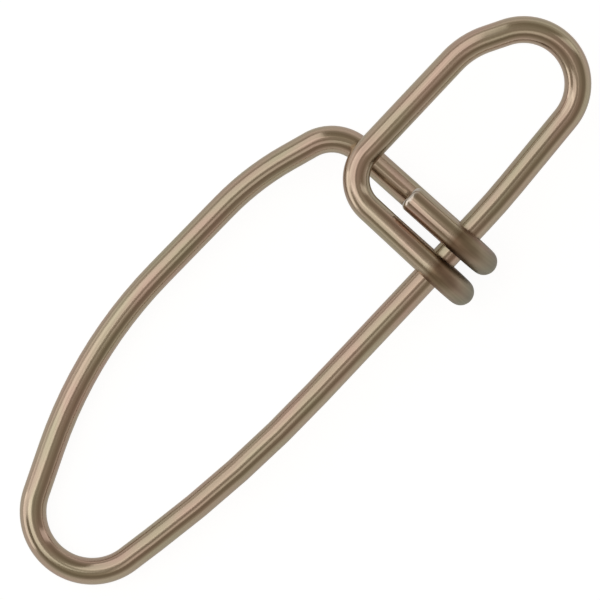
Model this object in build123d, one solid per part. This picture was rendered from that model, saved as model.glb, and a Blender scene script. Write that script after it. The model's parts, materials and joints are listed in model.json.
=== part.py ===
from build123d import *

import math
import os

import numpy as np
from scipy.optimize import linprog

# Cross lock snap: one length of round spring wire, bent into a small line eye and a long lure loop. The two
# loops share a straight spine. Each loop's free leg ends in a hook that is turned round the spine at the
# other loop's end of the neck, so a pull on either loop draws both hooks tighter. Nothing is welded, and
# both cut ends are free, so the whole snap is a single solid.
#
# Bending frame: X runs along the spine towards the eye, Y across the loops and Z through them, with the
# origin on the spine's axis where the eye hook crosses it. The bent wire is then laid down as it comes to
# rest on a table. Sizes are in millimetres, and places are those of the wire's axis.

# The wire
wire_diameter = 1.55
crossing_gap = 0.08  # air left between two stretches of wire that cross
end_rounding = 0.3  # tumbled edge of each cut end

# The two hooks that grip the spine
hook_spacing = 2.15  # from the eye hook to the lure hook, along the spine
hook_upper_ease = 0.07  # each hook's bend over the spine is this much wider than half the turn's height
hook_lower_tuck = 0.13  # and its bend under the spine is this much tighter
hook_return_length = 3.85  # from the spine back to the cut end
hook_return_lean = 0.15  # each cut end leans towards the lure loop
lure_return_drop = 0.22  # the lure hook's return sinks this much from the spine to its cut end
eye_hook_reach = 2.0  # from the spine out to the far side of the turn
eye_hook_bend_radius = 2.25  # where the eye's outer leg turns down into the hook
eye_hook_lean = 0.1
lure_hook_reach = 1.78
lure_hook_lean = 0.25

# The line eye
eye_length = 14.05  # from the eye hook to the nose
eye_width = 7.3  # from the spine to the outer leg
eye_nose_rise = 0.4  # the nose's bend starts this far above the spine
eye_nose_fall = 0.7  # and ends this far below the outer leg
eye_shoulder_setback = 3.65
eye_shoulder_radius = 4.7
eye_flare_setback = 9.0  # where the spine's end opens out towards the nose
eye_flare_radius = 40.0

# The lure loop
lure_length = 26.85  # from the eye hook to the nose
lure_width = 11.3  # from the spine to the highest bend of the outer leg
lure_nose_rise = 1.3  # as in the eye, from the spine to the nose's bend
lure_nose_fall = 3.25
lure_belly_setback = 9.85  # the long gentle bend of the outer leg
lure_belly_radius = 26.5
lure_flare_setback = 10.8  # the gentle bend where the spine closes in on the nose
lure_flare_reach = 6.28  # that bend starts and ends this far from its corner
lure_shoulder_setback = 5.3  # from the crown back to the shoulder
lure_shoulder_drop = 0.25
lure_shoulder_radius = 16.0
crown_drop = 1.9  # from the highest bend down to the crown's corner
crown_radius = 2.4

# Each nose's bend fills what its rise and fall leave of the loop's width
eye_nose_radius = (eye_width - eye_nose_rise - eye_nose_fall) / 2
eye_nose_height = eye_nose_rise + eye_nose_radius
lure_nose_radius = (lure_width - lure_nose_rise - lure_nose_fall) / 2
lure_nose_height = lure_nose_rise + lure_nose_radius

# Heights through the loops. Hooking them up turns each loop a little about the spine, the eye's outer leg
# up and the lure loop's down. Where the two cross, each gives way by half of what they need.
wire_radius = wire_diameter / 2
full_lap = wire_diameter + crossing_gap
half_lap = full_lap / 2

# Each hook is closed round the spine in two bends, which fill the height between its leg and its return
hook_upper_radius = full_lap + hook_upper_ease
hook_lower_radius = full_lap - hook_lower_tuck

lure_hook_x = hook_spacing
crown_x = lure_hook_x - lure_hook_lean
crown_y = lure_width - crown_drop


def height_along(place, start, start_height, end, end_height):
    """The height at a place on the straight line through two places of known height."""
    return start_height + (end_height - start_height) * (place - start) / (end - start)


def eye_height(y):
    """The eye rises from the spine to its outer leg, which crosses over the lure hook's leg."""
    return height_along(y, 0, 0, eye_width, half_lap)


def eye_hook_height(y):
    """The eye hook's leg climbs on, to pass over the spine."""
    return height_along(y, eye_width, half_lap, 0, full_lap)


def lure_hook_height(y):
    """The lure hook's leg sinks on below the eye's outer leg, to pass under the spine."""
    return height_along(y, eye_width, -half_lap, 0, -full_lap)


def lure_return_height(y):
    """The lure hook's return sinks from where it passes over the spine to its cut end."""
    return height_along(y, 0, full_lap, hook_return_length, full_lap - lure_return_drop)


def lure_height(y):
    """The lure loop sinks from the spine to its outer leg, which meets the hook's leg at the crown."""
    return height_along(y, 0, 0, crown_y, lure_hook_height(crown_y))


def tangent_heading(point, centre, radius, side):
    """Heading from a point to the line that touches a circle: side is 1 with the circle on the left, or -1."""
    away = centre - point
    return math.atan2(away.Y, away.X) - side * math.asin(radius / away.length)


def nose_corner(before, centre, radius, after):
    """Where the two straight runs meet that touch a nose's bend: one comes from before, one goes to after."""
    heading_in = tangent_heading(before, centre, radius, 1)
    heading_out = tangent_heading(after, centre, radius, -1)
    run_in = Vector(math.cos(heading_in), math.sin(heading_in))
    run_out = Vector(math.cos(heading_out), math.sin(heading_out))
    gap = after - before
    reach = gap.cross(run_out).Z / run_in.cross(run_out).Z
    return before + run_in * reach


def radius_within(before, corner, after, reach):
    """The radius of a bend between two straight runs that starts and ends this far from their corner."""
    turn = (corner - before).get_angle(after - corner)
    return reach / math.tan(math.radians(turn / 2))


# Bends seen along Z
crown = Vector(crown_x, crown_y)
lure_shoulder = Vector(crown_x - lure_shoulder_setback, lure_width - lure_shoulder_drop)
lure_belly = Vector(-lure_length + lure_belly_setback, lure_width)
lure_flare = Vector(-lure_length + lure_flare_setback, 0)
lure_nose_centre = Vector(-lure_length + lure_nose_radius, lure_nose_height)
lure_nose = nose_corner(lure_belly, lure_nose_centre, lure_nose_radius, lure_flare)
eye_flare = Vector(eye_length - eye_flare_setback, 0)
eye_shoulder = Vector(eye_length - eye_shoulder_setback, eye_width)
eye_nose_centre = Vector(eye_length - eye_nose_radius, eye_nose_height)
eye_nose = nose_corner(eye_flare, eye_nose_centre, eye_nose_radius, eye_shoulder)
eye_hook_corner = Vector(-eye_hook_lean, eye_width)
lure_flare_radius = radius_within(lure_nose, lure_flare, eye_flare, lure_flare_reach)

# The same bends in order along the wire, each with its height and its radius
bends = [
    (Vector(lure_hook_x, -lure_hook_reach, lure_return_height(-lure_hook_reach)), hook_upper_radius),
    (Vector(lure_hook_x, -lure_hook_reach, lure_hook_height(-lure_hook_reach)), hook_lower_radius),
    (Vector(crown.X, crown.Y, lure_height(crown.Y)), crown_radius),
    (Vector(lure_shoulder.X, lure_shoulder.Y, lure_height(lure_shoulder.Y)), lure_shoulder_radius),
    (Vector(lure_belly.X, lure_belly.Y, lure_height(lure_belly.Y)), lure_belly_radius),
    (Vector(lure_nose.X, lure_nose.Y, lure_height(lure_nose.Y)), lure_nose_radius),
    (lure_flare, lure_flare_radius),
    (eye_flare, eye_flare_radius),
    (Vector(eye_nose.X, eye_nose.Y, eye_height(eye_nose.Y)), eye_nose_radius),
    (Vector(eye_shoulder.X, eye_shoulder.Y, eye_height(eye_shoulder.Y)), eye_shoulder_radius),
    (Vector(eye_hook_corner.X, eye_hook_corner.Y, eye_height(eye_hook_corner.Y)), eye_hook_bend_radius),
    (Vector(0, -eye_hook_reach, eye_hook_height(-eye_hook_reach)), hook_upper_radius),
    (Vector(0, -eye_hook_reach, -full_lap), hook_lower_radius),
]
lure_cut_height = lure_return_height(hook_return_length)
lure_cut_end = Vector(lure_hook_x - hook_return_lean, hook_return_length, lure_cut_height)
eye_cut_end = Vector(-hook_return_lean, hook_return_length, -full_lap)

corners = [lure_cut_end] + [corner for corner, radius in bends] + [eye_cut_end]
radii = [radius for corner, radius in bends]
wire_axis = FilletPolyline(*corners, radius=radii)

section = Plane(origin=wire_axis @ 0, z_dir=wire_axis % 0) * Circle(wire_radius)
bent_wire = sweep(section, path=wire_axis)
cut_faces = bent_wire.faces().filter_by(GeomType.PLANE)
bent_wire = fillet(cut_faces.edges(), end_rounding)


def resting_table(axis_points, balance):
    """The table under the resting wire: the highest plane below the balance with no axis point under it."""
    x, y, z = axis_points.T
    rows = np.column_stack([np.ones(len(x)), x, y])
    best = linprog(-np.array([1, balance.X, balance.Y]), A_ub=rows, b_ub=z, bounds=[(None, None)] * 3)
    level, slope_x, slope_y = best.x
    return Plane(origin=(0, 0, level), x_dir=(1, 0, slope_x), z_dir=(-slope_x, -slope_y, 1))


samples_per_run = 60
axis_points = [run @ share for run in wire_axis.edges() for share in np.linspace(0, 1, samples_per_run)]
table = resting_table(np.array([tuple(point) for point in axis_points]), bent_wire.center(CenterOf.MASS))
laid_points = np.array([tuple(table.to_local_coords(point)) for point in axis_points])
middle = (laid_points.min(axis=0) + laid_points.max(axis=0)) / 2
snap_wire = Pos(-middle[0], -middle[1], wire_radius) * table.to_local_coords(bent_wire)

os.makedirs("parts", exist_ok=True)
export_step(snap_wire, "parts/snap_wire.step")
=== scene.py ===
import json
import math

import bpy
from mathutils import Matrix, Vector


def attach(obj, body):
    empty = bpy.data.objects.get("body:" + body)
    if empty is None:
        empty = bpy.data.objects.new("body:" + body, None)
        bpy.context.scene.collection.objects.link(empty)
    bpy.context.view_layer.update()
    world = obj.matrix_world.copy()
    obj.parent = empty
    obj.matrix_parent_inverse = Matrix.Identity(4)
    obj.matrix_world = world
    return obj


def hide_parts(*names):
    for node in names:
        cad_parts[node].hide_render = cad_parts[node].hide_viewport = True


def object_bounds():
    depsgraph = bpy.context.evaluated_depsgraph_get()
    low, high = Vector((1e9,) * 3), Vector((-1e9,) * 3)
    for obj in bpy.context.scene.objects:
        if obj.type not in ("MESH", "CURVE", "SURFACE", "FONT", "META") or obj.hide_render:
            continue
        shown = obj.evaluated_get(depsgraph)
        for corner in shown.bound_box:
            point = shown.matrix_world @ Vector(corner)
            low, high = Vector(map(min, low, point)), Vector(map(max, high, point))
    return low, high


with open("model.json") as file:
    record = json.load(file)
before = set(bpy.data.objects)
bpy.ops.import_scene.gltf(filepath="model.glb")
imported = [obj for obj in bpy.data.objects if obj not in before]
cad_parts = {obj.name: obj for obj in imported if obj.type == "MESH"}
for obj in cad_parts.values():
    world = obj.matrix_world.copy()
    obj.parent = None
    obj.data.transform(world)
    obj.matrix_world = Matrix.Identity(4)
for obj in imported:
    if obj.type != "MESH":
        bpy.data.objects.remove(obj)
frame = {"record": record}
cad_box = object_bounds()

# The wire. The whole snap is one length of round spring wire: tempered steel, drawn bright through a die,
# cut to about 127 mm and tumbled, so both cut ends are blunt with a rounded rim. Sizes are in millimetres,
# at the wire's axis: x runs along the straight spine towards the eye, y across the loops, z through them.
mm = 0.001
wire_diameter = 1.55
wire_radius = wire_diameter / 2
end_rounding = 0.3
end_rings = 6
crossing_gap = 0.08
full_lap = wire_diameter + crossing_gap
half_lap = full_lap / 2

# The two hooks. Each free leg is turned once round the spine, cold, over a small pin: the eye hook sits on
# the lure side of the neck and the lure hook on the eye side. Their returns are only sprung shut, which is
# how they open.
hook_spacing = 2.15
hook_upper_ease = 0.07
hook_lower_tuck = 0.13
hook_upper_radius = full_lap + hook_upper_ease
hook_lower_radius = full_lap - hook_lower_tuck
hook_return_length = 3.85
hook_return_lean = 0.15
lure_return_drop = 0.22
eye_hook_reach = 2.0
eye_hook_bend_radius = 2.25
eye_hook_lean = 0.1
lure_hook_reach = 1.78
lure_hook_lean = 0.25

# The line eye. The short loop for the line: the spine opens out a little towards a round nose, and the
# outer leg comes back straight to the shoulder of the eye hook.
eye_length = 14.05
eye_width = 7.3
eye_nose_rise = 0.4
eye_nose_fall = 0.7
eye_nose_radius = (eye_width - eye_nose_rise - eye_nose_fall) / 2
eye_shoulder_setback = 3.65
eye_shoulder_radius = 4.7
eye_flare_setback = 9.0
eye_flare_radius = 40.0

# The lure loop. The long loop that takes the lure: a small round nose, a full belly on the outer leg, a
# flat shoulder and a tight crown, from which the leg drops behind the eye's outer leg to the lure hook.
lure_length = 26.85
lure_width = 11.3
lure_nose_rise = 1.3
lure_nose_fall = 3.25
lure_nose_radius = (lure_width - lure_nose_rise - lure_nose_fall) / 2
lure_belly_setback = 9.85
lure_belly_radius = 26.5
lure_flare_setback = 10.8
lure_flare_radius = 75.0
lure_shoulder_setback = 5.3
lure_shoulder_drop = 0.25
lure_shoulder_radius = 16.0
crown_drop = 1.9
crown_radius = 2.4


# The heights. Hooking the loops together turns each a little about the spine, the eye's outer leg up and
# the lure loop's down. Wherever two stretches cross, each gives way by half of the wire's thickness.
def height_along(place, start, start_height, end, end_height):
    """The height at a place on the straight line through two places of known height."""
    return start_height + (end_height - start_height) * (place - start) / (end - start)


def eye_height(y):
    """The eye rises from the spine to its outer leg, which crosses over the lure hook's leg."""
    return height_along(y, 0, 0, eye_width, half_lap)


def eye_hook_height(y):
    """The eye hook's leg climbs on, to pass over the spine."""
    return height_along(y, eye_width, half_lap, 0, full_lap)


def lure_hook_height(y):
    """The lure hook's leg sinks below the eye's outer leg, and on below the spine."""
    return height_along(y, eye_width, -half_lap, 0, -full_lap)


def lure_return_height(y):
    """The lure hook's return sinks from where it passes over the spine to its cut end."""
    return height_along(y, 0, full_lap, hook_return_length, full_lap - lure_return_drop)


def lure_height(y):
    """The lure loop sinks from the spine to its outer leg, which meets the hook's leg at the crown."""
    return height_along(y, 0, 0, lure_width - crown_drop, lure_hook_height(lure_width - crown_drop))


# The route. The wire's straight runs meet in corners, and each corner has the radius of the pin it is bent
# over. A nose is bent almost back on itself, so its corner is where the two runs that touch its pin would
# meet.
def tangent_heading(point, centre, radius, side):
    """Heading from a point to the line that touches a circle, which is on the left with side 1."""
    away = centre - point
    return math.atan2(away.y, away.x) - side * math.asin(radius / away.length)


def nose_corner(before, centre, radius, after):
    """Where the run that comes from before and the run that goes to after meet, past the nose's pin."""
    heading_in = tangent_heading(before, centre, radius, 1)
    heading_out = tangent_heading(after, centre, radius, -1)
    run_in = Vector((math.cos(heading_in), math.sin(heading_in), 0))
    run_out = Vector((math.cos(heading_out), math.sin(heading_out), 0))
    reach = (after - before).cross(run_out).z / run_in.cross(run_out).z
    return before + run_in * reach


crown = Vector((hook_spacing - lure_hook_lean, lure_width - crown_drop, 0))
lure_shoulder = Vector((crown.x - lure_shoulder_setback, lure_width - lure_shoulder_drop, 0))
lure_belly = Vector((-lure_length + lure_belly_setback, lure_width, 0))
lure_flare = Vector((-lure_length + lure_flare_setback, 0, 0))
lure_nose_pin = Vector((-lure_length + lure_nose_radius, lure_nose_rise + lure_nose_radius, 0))
lure_nose = nose_corner(lure_belly, lure_nose_pin, lure_nose_radius, lure_flare)
eye_flare = Vector((eye_length - eye_flare_setback, 0, 0))
eye_shoulder = Vector((eye_length - eye_shoulder_setback, eye_width, 0))
eye_nose_pin = Vector((eye_length - eye_nose_radius, eye_nose_rise + eye_nose_radius, 0))
eye_nose = nose_corner(eye_flare, eye_nose_pin, eye_nose_radius, eye_shoulder)


def raised(point, height):
    """A place seen along z, at the height that a loop or a leg has there."""
    return Vector((point.x, point.y, height(point.y)))


bends = [
    (raised(Vector((hook_spacing, -lure_hook_reach, 0)), lure_return_height), hook_upper_radius),
    (raised(Vector((hook_spacing, -lure_hook_reach, 0)), lure_hook_height), hook_lower_radius),
    (raised(crown, lure_height), crown_radius),
    (raised(lure_shoulder, lure_height), lure_shoulder_radius),
    (raised(lure_belly, lure_height), lure_belly_radius),
    (raised(lure_nose, lure_height), lure_nose_radius),
    (lure_flare, lure_flare_radius),
    (eye_flare, eye_flare_radius),
    (raised(eye_nose, eye_height), eye_nose_radius),
    (raised(eye_shoulder, eye_height), eye_shoulder_radius),
    (raised(Vector((-eye_hook_lean, eye_width, 0)), eye_height), eye_hook_bend_radius),
    (raised(Vector((0, -eye_hook_reach, 0)), eye_hook_height), hook_upper_radius),
    (Vector((0, -eye_hook_reach, -full_lap)), hook_lower_radius),
]
lure_cut_end = raised(Vector((hook_spacing - hook_return_lean, hook_return_length, 0)), lure_return_height)
eye_cut_end = Vector((-hook_return_lean, hook_return_length, -full_lap))


def blunt_end(cut_end, first_bend):
    """Rings of a cut end's rim, from its flat inwards: place, bend radius and share of the wire."""
    inwards = (first_bend - cut_end).normalized()
    rim = []
    for ring in range(end_rings + 1):
        swept = math.radians(90) * ring / end_rings
        depth = end_rounding * (1 - math.cos(swept))
        share = 1 - end_rounding * (1 - math.sin(swept)) / wire_radius
        rim.append((cut_end + inwards * depth, 0, share))
    return rim


# Laid down. At rest the snap lies on its far bow and the back of the eye hook, tipped a few degrees. The
# two noses' places on the finished part, and the direction square to the eye, say how.
noses = {mount["name"]: mount for mount in frame["record"]["mounts"]}
eye_nose_laid = Vector(noses["line_eye"]["pos_m"])
lure_nose_laid = Vector(noses["lure_nose"]["pos_m"])
eye_square_laid = Vector(noses["line_eye"]["axis"]).normalized()
eye_nose_bent = raised(eye_nose_pin, eye_height)
lure_nose_bent = raised(lure_nose_pin, lure_height)
eye_square_bent = Vector((0, -half_lap, eye_width)).normalized()


def loop_axes(along, square):
    """Three directions as the rows of a matrix: along the eye, across it and square to it."""
    across = square.cross(along).normalized()
    return Matrix((across.cross(square), across, square))


bent_axes = loop_axes(eye_nose_bent - lure_nose_bent, eye_square_bent)
laid_axes = loop_axes(eye_nose_laid - lure_nose_laid, eye_square_laid)
laying_turn = laid_axes.transposed() @ bent_axes

route = blunt_end(lure_cut_end, bends[0][0])
route += [(corner, radius, 1) for corner, radius in bends]
route += reversed(blunt_end(eye_cut_end, bends[-1][0]))
route_places = [eye_nose_laid + laying_turn @ (place - eye_nose_bent) * mm for place, radius, share in route]

snap_wire_mesh = bpy.data.meshes.new("snap_wire_route")
snap_wire_mesh.from_pydata(route_places, [(at, at + 1) for at in range(len(route) - 1)], [])
pin_radius = snap_wire_mesh.attributes.new("pin_radius", "FLOAT", "POINT")
pin_radius.data.foreach_set("value", [radius * mm for place, radius, share in route])
wire_share = snap_wire_mesh.attributes.new("wire_share", "FLOAT", "POINT")
wire_share.data.foreach_set("value", [share for place, radius, share in route])
bend_turn = snap_wire_mesh.attributes.new("bend_turn", "FLOAT", "POINT")
turns = [0] * len(route)
for at in range(1, len(route) - 1):
    arriving = route_places[at] - route_places[at - 1]
    leaving = route_places[at + 1] - route_places[at]
    turns[at] = arriving.angle(leaving)
bend_turn.data.foreach_set("value", turns)


# The finish. Bright-drawn, tempered steel with a thin smoky bronze oxide: a satin metal with fine lines
# along the wire from the die, whose film shifts a little between straw, rose and olive from place to place.
def srgb(code):
    """Linear colour from an sRGB hex code."""
    linear = []
    for at in (1, 3, 5):
        share = int(code[at:at + 2], 16) / 255
        linear.append(share / 12.92 if share <= 0.04045 else ((share + 0.055) / 1.055) ** 2.4)
    return linear + [1]


def add_node(tree, kind, settings=None, links=None):
    """A node of the tree with its settings, by property or socket, and what feeds its sockets."""
    node = tree.nodes.new(kind)
    for name, value in (settings or {}).items():
        if isinstance(name, str) and hasattr(node, name):
            setattr(node, name, value)
        else:
            node.inputs[name].default_value = value
    for name, source in (links or {}).items():
        tree.links.new(source, node.inputs[name])
    return node


finish = bpy.data.materials.new("smoky_bronze_drawn_spring_wire")
finish.use_nodes = True
shading = finish.node_tree
shading.nodes.clear()
straight_wire = add_node(shading, "ShaderNodeAttribute", {"attribute_name": "straight_wire"})

# Die lines are really about 0.02 mm apart. They are drawn 0.13 mm apart, so that they show at all.
line_spacing = 0.13 * mm
line_length = 14 * mm
line_places = add_node(
    shading,
    "ShaderNodeMapping",
    {"Scale": (1 / line_spacing, 1 / line_spacing, 1 / line_length)},
    {"Vector": straight_wire.outputs["Vector"]},
)
die_lines = add_node(
    shading, "ShaderNodeTexNoise", {"Scale": 1, "Detail": 2}, {"Vector": line_places.outputs["Vector"]}
)

film_patch_width = 0.9 * mm
film_patch_length = 3.5 * mm
film_places = add_node(
    shading,
    "ShaderNodeMapping",
    {"Scale": (1 / film_patch_width, 1 / film_patch_width, 1 / film_patch_length)},
    {"Vector": straight_wire.outputs["Vector"]},
)
film_patches = add_node(
    shading, "ShaderNodeTexNoise", {"Scale": 1, "Detail": 1}, {"Vector": film_places.outputs["Vector"]}
)
film_colour = add_node(shading, "ShaderNodeValToRGB", {}, {"Fac": film_patches.outputs["Fac"]})
film_stops = [(0.32, "#B6AD96"), (0.45, "#BAAC98"), (0.55, "#BCAA98"), (0.68, "#BFA899")]

# The die's lines are grooves and ridges. Grooves keep more of the dark film, and ridges are scuffed paler.
groove = 0.3
ridge = 0.7
groove_brightness = 0.88
ridge_brightness = 1.1
line_brightness = add_node(
    shading,
    "ShaderNodeMapRange",
    {"From Min": groove, "From Max": ridge, "To Min": groove_brightness, "To Max": ridge_brightness},
    {"Value": die_lines.outputs["Fac"]},
)
lined_film = add_node(
    shading,
    "ShaderNodeVectorMath",
    {"operation": "SCALE"},
    {0: film_colour.outputs["Color"], "Scale": line_brightness.outputs["Result"]},
)

# The hooks are turned last and rub on the spine each time they are opened, so their turns are worn matt.
# Their colour is painted shade: the turns are darkened to a dull olive grey, and the film to a dark brown
# band of painted contact shade where they cross the spine.
turn_middle = 6.65 * mm
wear_and_shade_reach = 5.0 * mm
from_cut_end = add_node(shading, "ShaderNodeAttribute", {"attribute_name": "from_cut_end"})
past_turn = add_node(
    shading, "ShaderNodeMath", {"operation": "SUBTRACT", 1: turn_middle}, {0: from_cut_end.outputs["Fac"]}
)
from_turn = add_node(shading, "ShaderNodeMath", {"operation": "ABSOLUTE"}, {0: past_turn.outputs["Value"]})
turn_wear_and_shade_share = add_node(
    shading, "ShaderNodeMath", {"operation": "DIVIDE", 1: wear_and_shade_reach}, {0: from_turn.outputs["Value"]}
)
# This ramp paints shade: darker, greyer turn middles and a darker brown band where the hooks cross the
# spine.
turn_painted_shade_colour = add_node(shading, "ShaderNodeValToRGB", {}, {"Fac": turn_wear_and_shade_share.outputs["Value"]})
turn_painted_shade_stops = [(0.15, "#CEDADE"), (0.36, "#EAE6E8"), (0.5, "#C6BAB1"), (0.6, "#B8A99D"), (0.7, "#FFFFFF")]
for colour, stops in ((film_colour, film_stops), (turn_painted_shade_colour, turn_painted_shade_stops)):
    ramp = colour.color_ramp
    while len(ramp.elements) < len(stops):
        ramp.elements.new(0.5)
    for stop, (place, code) in zip(ramp.elements, stops):
        stop.position = place
        stop.color = srgb(code)
shade_painted_film = add_node(
    shading,
    "ShaderNodeVectorMath",
    {"operation": "MULTIPLY"},
    {0: lined_film.outputs["Vector"], 1: turn_painted_shade_colour.outputs["Color"]},
)

# The wire is cut to length after tempering, so both cuts are bare steel as far as their rounded rims,
# painted paler still as a painted highlight for the glint on the rims.
bare_reach = 0.1 * mm
film_start = 0.35 * mm
bare_steel_and_glint = srgb("#D3CFC8")
bare_and_glint_share = add_node(
    shading,
    "ShaderNodeMapRange",
    {"From Min": bare_reach, "From Max": film_start, "To Min": 1, "To Max": 0},
    {"Value": from_cut_end.outputs["Fac"]},
)
surface_colour = add_node(
    shading,
    "ShaderNodeMixRGB",
    {"Color2": bare_steel_and_glint},
    {"Fac": bare_and_glint_share.outputs["Result"], "Color1": shade_painted_film.outputs["Vector"]},
)

# Drawn wire is nearly mirror smooth, a little duller on its scuffed ridges, and matt where the hooks rub.
drawn_roughness = 0.14
scuffed_roughness = 0.22
rubbed_roughness = 0.46
rubbed_share = 0.5
unrubbed_share = 0.76
line_depth = 0.004 * mm
line_roughness = add_node(
    shading,
    "ShaderNodeMapRange",
    {"From Min": groove, "From Max": ridge, "To Min": drawn_roughness, "To Max": scuffed_roughness},
    {"Value": die_lines.outputs["Fac"]},
)
worn_roughness = add_node(
    shading,
    "ShaderNodeMapRange",
    {
        "From Min": rubbed_share,
        "From Max": unrubbed_share,
        "To Min": rubbed_roughness,
        "To Max": drawn_roughness,
    },
    {"Value": turn_wear_and_shade_share.outputs["Value"]},
)
roughness = add_node(
    shading,
    "ShaderNodeMath",
    {"operation": "MAXIMUM"},
    {0: line_roughness.outputs["Result"], 1: worn_roughness.outputs["Result"]},
)
line_relief = add_node(
    shading, "ShaderNodeBump", {"Strength": 1, "Distance": line_depth}, {"Height": die_lines.outputs["Fac"]}
)
metal = add_node(
    shading,
    "ShaderNodeBsdfPrincipled",
    {"Metallic": 1},
    {
        "Base Color": surface_colour.outputs["Color"],
        "Roughness": roughness.outputs["Value"],
        "Normal": line_relief.outputs["Normal"],
    },
)
add_node(shading, "ShaderNodeOutputMaterial", {}, {"Surface": metal.outputs["BSDF"]})

# The bending. The tree rounds each corner of the route over its pin, sweeps the round section along it,
# closes the two cuts, and keeps for every point where it was on the wire while that was still straight.
bending = bpy.data.node_groups.new("bend_spring_wire", "GeometryNodeTree")
bending_inputs = [
    ("Geometry", "NodeSocketGeometry"),
    ("Wire diameter", "NodeSocketFloat"),
    ("Turn per ring", "NodeSocketFloat"),
    ("Sides", "NodeSocketInt"),
    ("Finish", "NodeSocketMaterial"),
]
for name, kind in bending_inputs:
    bending.interface.new_socket(name, in_out="INPUT", socket_type=kind)
bending.interface.new_socket("Geometry", in_out="OUTPUT", socket_type="NodeSocketGeometry")
given = add_node(bending, "NodeGroupInput")
bend_turn_given = add_node(
    bending, "GeometryNodeInputNamedAttribute", {"data_type": "FLOAT", "Name": "bend_turn"}
)
pin_radius_given = add_node(
    bending, "GeometryNodeInputNamedAttribute", {"data_type": "FLOAT", "Name": "pin_radius"}
)
wire_share_given = add_node(
    bending, "GeometryNodeInputNamedAttribute", {"data_type": "FLOAT", "Name": "wire_share"}
)
run = add_node(bending, "GeometryNodeMeshToCurve", {}, {"Mesh": given.outputs["Geometry"]})
rings_exact = add_node(
    bending,
    "ShaderNodeMath",
    {"operation": "DIVIDE"},
    {0: bend_turn_given.outputs["Attribute"], 1: given.outputs["Turn per ring"]},
)
rings = add_node(bending, "ShaderNodeMath", {"operation": "CEIL"}, {0: rings_exact.outputs["Value"]})
bent = add_node(
    bending,
    "GeometryNodeFilletCurve",
    {"mode": "POLY"},
    {
        "Curve": run.outputs["Curve"],
        "Count": rings.outputs["Value"],
        "Radius": pin_radius_given.outputs["Attribute"],
    },
)
place_on_wire = add_node(bending, "GeometryNodeSplineParameter")
whole_wire = add_node(bending, "GeometryNodeSplineLength")
measured = add_node(
    bending,
    "GeometryNodeStoreNamedAttribute",
    {"data_type": "FLOAT", "domain": "POINT", "Name": "along_wire"},
    {"Geometry": bent.outputs["Curve"], "Value": place_on_wire.outputs["Length"]},
)
to_last_end = add_node(
    bending,
    "ShaderNodeMath",
    {"operation": "SUBTRACT"},
    {0: whole_wire.outputs["Length"], 1: place_on_wire.outputs["Length"]},
)
to_nearer_end = add_node(
    bending,
    "ShaderNodeMath",
    {"operation": "MINIMUM"},
    {0: place_on_wire.outputs["Length"], 1: to_last_end.outputs["Value"]},
)
measured_from_ends = add_node(
    bending,
    "GeometryNodeStoreNamedAttribute",
    {"data_type": "FLOAT", "domain": "POINT", "Name": "from_cut_end"},
    {"Geometry": measured.outputs["Geometry"], "Value": to_nearer_end.outputs["Value"]},
)
radius = add_node(
    bending, "ShaderNodeMath", {"operation": "MULTIPLY", 1: 0.5}, {0: given.outputs["Wire diameter"]}
)
section = add_node(
    bending,
    "GeometryNodeCurvePrimitiveCircle",
    {},
    {"Resolution": given.outputs["Sides"], "Radius": radius.outputs["Value"]},
)
marked_section = add_node(
    bending,
    "GeometryNodeStoreNamedAttribute",
    {"data_type": "FLOAT_VECTOR", "domain": "POINT", "Name": "in_section"},
    {
        "Geometry": section.outputs["Curve"],
        "Value": add_node(bending, "GeometryNodeInputPosition").outputs["Position"],
    },
)
wire = add_node(
    bending,
    "GeometryNodeCurveToMesh",
    {"Fill Caps": True},
    {
        "Curve": measured_from_ends.outputs["Geometry"],
        "Profile Curve": marked_section.outputs["Geometry"],
        "Scale": wire_share_given.outputs["Attribute"],
    },
)
in_section_kept = add_node(
    bending, "GeometryNodeInputNamedAttribute", {"data_type": "FLOAT_VECTOR", "Name": "in_section"}
)
in_section = add_node(bending, "ShaderNodeSeparateXYZ", {}, {"Vector": in_section_kept.outputs["Attribute"]})
along_wire_kept = add_node(
    bending, "GeometryNodeInputNamedAttribute", {"data_type": "FLOAT", "Name": "along_wire"}
)
straightened = add_node(
    bending,
    "ShaderNodeCombineXYZ",
    {},
    {
        "X": in_section.outputs["X"],
        "Y": in_section.outputs["Y"],
        "Z": along_wire_kept.outputs["Attribute"],
    },
)
mapped = add_node(
    bending,
    "GeometryNodeStoreNamedAttribute",
    {"data_type": "FLOAT_VECTOR", "domain": "POINT", "Name": "straight_wire"},
    {"Geometry": wire.outputs["Mesh"], "Value": straightened.outputs["Vector"]},
)
smooth = add_node(bending, "GeometryNodeSetShadeSmooth", {}, {"Geometry": mapped.outputs["Geometry"]})
realized = add_node(bending, "GeometryNodeRealizeInstances", {}, {"Geometry": smooth.outputs["Geometry"]})
finished = add_node(
    bending,
    "GeometryNodeSetMaterial",
    {},
    {"Geometry": realized.outputs["Geometry"], "Material": given.outputs["Finish"]},
)
add_node(bending, "NodeGroupOutput", {}, {"Geometry": finished.outputs["Geometry"]})

# The finished skin lies a hair inside the solid wire, whose own facets are a little flatter at the bends.
# Its rings and its sides are close enough for the bends and the section to look round.
skin_inset = 0.01
turn_per_ring = math.radians(2.5)
sides = 48
snap = bpy.data.objects.new("spring_wire_snap", snap_wire_mesh)
bpy.context.scene.collection.objects.link(snap)
bender = snap.modifiers.new("bending", "NODES")
bender.node_group = bending
sockets = {item.name: item.identifier for item in bending.interface.items_tree if item.in_out == "INPUT"}
bender[sockets["Wire diameter"]] = (wire_diameter - 2 * skin_inset) * mm
bender[sockets["Turn per ring"]] = turn_per_ring
bender[sockets["Sides"]] = sides
bender[sockets["Finish"]] = finish
bpy.context.view_layer.update()
evaluated = snap.evaluated_get(bpy.context.evaluated_depsgraph_get())
bent_mesh = bpy.data.meshes.new_from_object(evaluated)
snap.modifiers.clear()
snap.data = bent_mesh
bent_mesh.name = "spring_wire_snap"

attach(snap, "root")
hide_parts("snap_wire")

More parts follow.
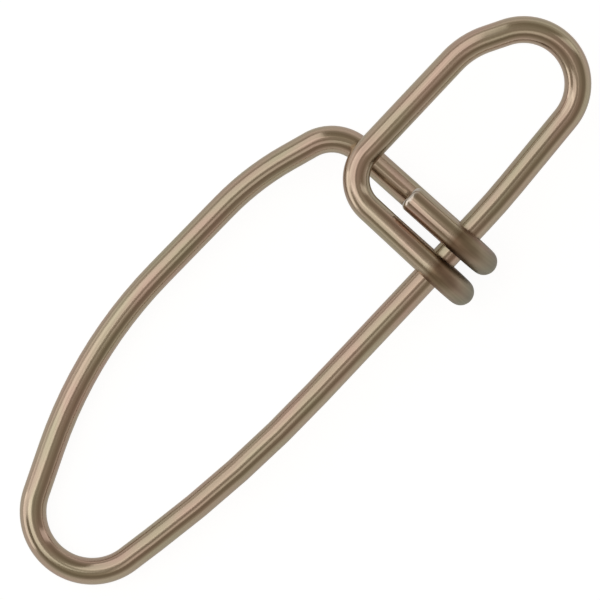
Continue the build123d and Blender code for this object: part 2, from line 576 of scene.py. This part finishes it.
# The table. A plain white sheet, wide enough to reach past every view. It glows a little for the camera and
# in the metal, so that it reads as white while the snap's soft shadow stays on it.
paper_white = srgb("#F0F0EE")
glow_strength = 1.16
glow_seen = 0.8
glow_in_metal = 0.22
table_paper = bpy.data.materials.new("matt_white_paper")
table_paper.use_nodes = True
papering = table_paper.node_tree
papering.nodes.clear()
paper = add_node(papering, "ShaderNodeBsdfDiffuse", {"Color": paper_white})
glow = add_node(papering, "ShaderNodeEmission", {"Color": srgb("#FFFFFF"), "Strength": glow_strength})
seen = add_node(papering, "ShaderNodeLightPath")
mirrored = add_node(
    papering,
    "ShaderNodeMath",
    {"operation": "ADD"},
    {0: seen.outputs["Is Glossy Ray"], 1: seen.outputs["Is Transmission Ray"]},
)
mirrored_share = add_node(
    papering, "ShaderNodeMath", {"operation": "MULTIPLY", 1: glow_in_metal}, {0: mirrored.outputs["Value"]}
)
glow_share = add_node(
    papering,
    "ShaderNodeMath",
    {"operation": "MULTIPLY_ADD", 1: glow_seen},
    {0: seen.outputs["Is Camera Ray"], 2: mirrored_share.outputs["Value"]},
)
white = add_node(
    papering,
    "ShaderNodeMixShader",
    {},
    {0: glow_share.outputs["Value"], 1: paper.outputs["BSDF"], 2: glow.outputs["Emission"]},
)
add_node(papering, "ShaderNodeOutputMaterial", {}, {"Surface": white.outputs["Shader"]})

table_half = 3.0
table_mesh = bpy.data.meshes.new("table")
table_corners = [(x * table_half, y * table_half, 0) for x, y in ((-1, -1), (1, -1), (1, 1), (-1, 1))]
table_mesh.from_pydata(table_corners, [], [(0, 1, 2, 3)])
table_mesh.materials.append(table_paper)
table = bpy.data.objects.new("table", table_mesh)
bpy.context.scene.collection.objects.link(table)

# The room. Plain walls and ceiling in a warm grey, lit only by what the lamps and the white table spill on
# them: pale down by the table, dim half way up and a little paler overhead.
room = bpy.data.worlds.new("studio")
bpy.context.scene.world = room
room.use_nodes = True
surrounding = room.node_tree
surrounding.nodes.clear()
direction = add_node(surrounding, "ShaderNodeTexCoord")
height = add_node(surrounding, "ShaderNodeSeparateXYZ", {}, {"Vector": direction.outputs["Generated"]})
room_colour = add_node(surrounding, "ShaderNodeValToRGB", {}, {"Fac": height.outputs["Z"]})
room_stops = [
    (0, "#DFD9D3"),
    (0.17, "#D0C9C1"),
    (0.37, "#AAA094"),
    (0.56, "#918678"),
    (0.72, "#918577"),
    (0.87, "#A3988A"),
    (0.96, "#AEA498"),
    (1, "#A69C8F"),
]
room_ramp = room_colour.color_ramp
while len(room_ramp.elements) < len(room_stops):
    room_ramp.elements.new(0.5)
for stop, (place, code) in zip(room_ramp.elements, room_stops):
    stop.position = place
    stop.color = srgb(code)
room_light = add_node(
    surrounding, "ShaderNodeBackground", {"Strength": 1}, {"Color": room_colour.outputs["Color"]}
)
add_node(surrounding, "ShaderNodeOutputWorld", {}, {"Surface": room_light.outputs["Background"]})

# The lamps. Upright softboxes stand half a metre from the snap: on the outer legs' side a tall key with its
# brighter middle and two smaller ones, and on the spine's side two narrow ones. Each has its azimuth in
# degrees, its width and the heights of its foot and top in metres, and how bright its face is.
stand_distance = 0.5
lamps = [
    ("key_softbox", 97, 0.88, 0.25, 2.3, 0.75),
    ("key_middle", 112, 0.25, 0.0, 0.71, 0.25),
    ("high_softbox", 149, 0.36, 0.54, 2.4, 0.8),
    ("low_softbox", 142, 0.4, 0.0, 0.22, 0.8),
    ("back_softbox", 240, 0.32, 0.84, 2.4, 0.48),
    ("edge_softbox", 343, 0.15, 0.13, 0.8, 0.55),
]
for name, azimuth, width, foot, top, brightness in lamps:
    softbox = bpy.data.lights.new(name, "AREA")
    softbox.shape = "RECTANGLE"
    softbox.size = width
    softbox.size_y = top - foot
    softbox.energy = math.pi * width * (top - foot) * brightness
    lamp = bpy.data.objects.new(name, softbox)
    towards = Vector((math.cos(math.radians(azimuth)), math.sin(math.radians(azimuth)), 0))
    lamp.location = towards * stand_distance + Vector((0, 0, (foot + top) / 2))
    lamp.rotation_euler = towards.to_track_quat("Z", "Y").to_euler()
    lamp.visible_camera = False
    bpy.context.scene.collection.objects.link(lamp)

# The camera. It looks straight down at the table through a long lens, and is turned so that the snap lies
# aslant across the square view.
camera_height = 0.45
view_width = 34.02 * mm
view_centre = Vector((-0.2, -0.28, 0)) * mm
snap_slant = math.radians(46.75)
lens = bpy.data.cameras.new("camera")
lens.sensor_width = 36
lens.lens = lens.sensor_width * camera_height / view_width
lens.clip_start = 0.01
lens.clip_end = 20
camera = bpy.data.objects.new("camera", lens)
middle_height = (cad_box[0][2] + cad_box[1][2]) / 2
camera.location = view_centre + Vector((0, 0, middle_height + camera_height))
camera.rotation_euler = (0, 0, -snap_slant)
bpy.context.scene.collection.objects.link(camera)
bpy.context.scene.camera = camera
bpy.context.scene.view_settings.view_transform = "Standard"
